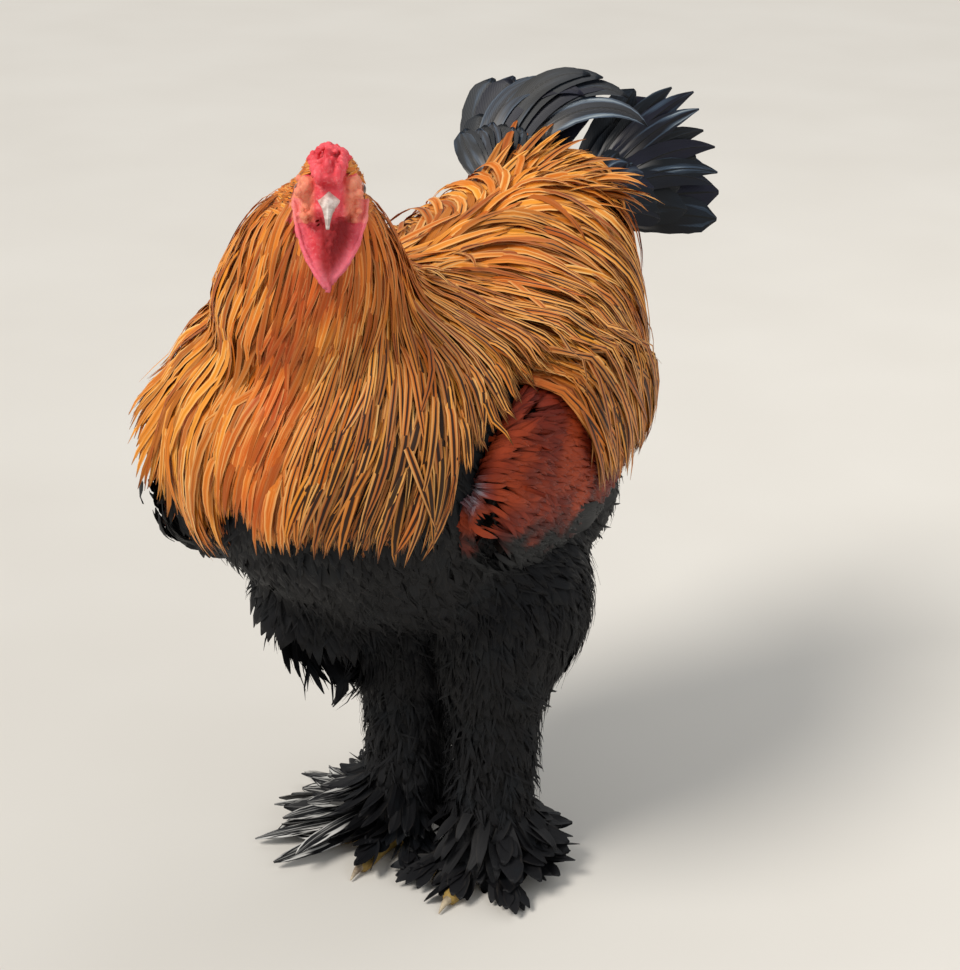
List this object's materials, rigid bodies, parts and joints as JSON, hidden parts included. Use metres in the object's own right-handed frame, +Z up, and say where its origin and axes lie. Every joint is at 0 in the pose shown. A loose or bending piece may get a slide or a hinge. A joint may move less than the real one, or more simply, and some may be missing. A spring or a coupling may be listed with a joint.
{
  "type": "brahma cock figure",
  "caption": "Life-size still figure of a gold partridge brahma cock, standing with its head turned to its left.",
  "frame": {"origin": "on the floor, midway across and along the model's box", "axes": "+Z up, -Y the way the body faces, +X the bird's own left"},
  "size_m": [0.361, 0.5832, 0.6796],
  "materials": {
    "black_plumage": "soft black feather",
    "hackle": "golden orange lance feathers with black stripes",
    "wing_plumage": "deep red-bay feather",
    "tail_plumage": "black feather with a blue-green sheen",
    "face_skin": "moist red bare skin",
    "eye": "glossy",
    "horn": "satin horn",
    "foot_scale": "yellowish scaled skin"
  },
  "bodies": {
    "root": {"bill_lower": "horn", "bill_upper": "horn", "claw_left_hind": "horn", "claw_left_inner": "horn", "claw_left_middle": "horn", "claw_left_outer": "horn", "claw_right_hind": "horn", "claw_right_inner": "horn", "claw_right_middle": "horn", "claw_right_outer": "horn", "comb": "face_skin", "eye_left": "eye", "eye_right": "eye", "foot_left": "foot_scale", "foot_right": "foot_scale", "head": "face_skin", "neck": "hackle", "saddle": "hackle", "shank_left": "black_plumage", "shank_right": "black_plumage", "tail": "tail_plumage", "thigh_left": "black_plumage", "thigh_right": "black_plumage", "torso": "black_plumage", "wattle_left": "face_skin", "wattle_right": "face_skin", "wing_left": "wing_plumage", "wing_right": "wing_plumage"}
  },
  "joints": []
}
